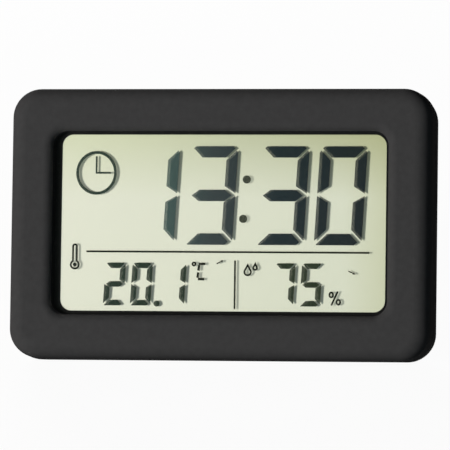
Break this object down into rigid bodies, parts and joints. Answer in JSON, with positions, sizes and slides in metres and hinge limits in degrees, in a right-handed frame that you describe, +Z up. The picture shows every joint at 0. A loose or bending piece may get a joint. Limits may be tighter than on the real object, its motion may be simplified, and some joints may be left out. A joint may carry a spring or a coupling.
{
  "type": "thermometer hygrometer clock",
  "caption": "Small desk clock in a rounded matte black case with a recessed display for time, room temperature and humidity, a fold-out stand, push keys and a hanger hole on the back.",
  "frame": {"origin": "middle of the flat on the rear bottom rim of the case, which rests on the table", "axes": "+X to the right seen from the front, +Y to the back, +Z up; the case leans back on its opened stand"},
  "size_m": [0.097, 0.0438, 0.0619],
  "materials": {
    "case_plastic": "fine matte moulded texture",
    "key_rubber": "smooth satin",
    "switch_plastic": "moulded",
    "cell_steel": "turned steel",
    "contact_metal": "plated strip",
    "board_laminate": "coated laminate",
    "potting": "cast",
    "can_metal": "drawn can",
    "chip_ceramic": "fired",
    "sensor_plastic": "moulded",
    "gasket_foam": "foam",
    "display_film": "clear film",
    "display_glass": "clear glass",
    "seal_resin": "cured black resin",
    "border_ink": "black printed ink",
    "lit_bars": "dark bars",
    "reflector_film": "pale diffusing film",
    "zebra_rubber": "layered rubber",
    "screw_steel": "dark zinc"
  },
  "bodies": {
    "case": {"front_case": "case_plastic", "rear_case": "case_plastic", "coin_cell": "cell_steel", "negative_contact": "contact_metal", "positive_contact": "contact_metal", "main_board": "board_laminate", "chip_blob": "potting", "crystal_can": "can_metal", "smd_parts": "chip_ceramic", "humidity_sensor": "sensor_plastic", "thermistor": "sensor_plastic", "switch_bases": "switch_plastic", "lcd_gasket": "gasket_foam", "lcd_polariser": "display_film", "lcd_front_glass": "display_glass", "lcd_edge_seal": "seal_resin", "lcd_segments": "lit_bars", "lcd_signs": "lit_bars", "lcd_rear_glass": "display_glass", "lcd_border": "border_ink", "lcd_reflector": "reflector_film", "zebra_strip": "zebra_rubber", "foam_strip": "gasket_foam", "case_screws": "screw_steel", "board_screws": "screw_steel"},
    "stand": {"stand": "case_plastic"},
    "battery_door": {"battery_door": "case_plastic"},
    "set_key": {"set_key": "key_rubber", "set_plunger": "switch_plastic"},
    "up_key": {"up_key": "key_rubber", "up_plunger": "switch_plastic"},
    "down_key": {"down_key": "key_rubber", "down_plunger": "switch_plastic"}
  },
  "joints": [
    {"name": "stand_fold", "type": "hinge", "parent": "case", "child": "stand", "pos_m": [0, 0.01668, 0.0413], "axis": [1, 0, 0], "range_deg": [-38, 0]},
    {"name": "battery_door_turn", "type": "hinge", "parent": "case", "child": "battery_door", "pos_m": [-0.03167, 0.01251, 0.02767], "axis": [0, 0.9256, -0.3785], "range_deg": [0, 45]},
    {"name": "set_key_press", "type": "slide", "parent": "case", "child": "set_key", "axis": [0, -0.9256, 0.3785], "range_m": [0, 0.0005], "stiffness_N_per_m": 2000},
    {"name": "up_key_press", "type": "slide", "parent": "case", "child": "up_key", "axis": [0, -0.9256, 0.3785], "range_m": [0, 0.0005], "stiffness_N_per_m": 2000},
    {"name": "down_key_press", "type": "slide", "parent": "case", "child": "down_key", "axis": [0, -0.9256, 0.3785], "range_m": [0, 0.0005], "stiffness_N_per_m": 2000}
  ]
}
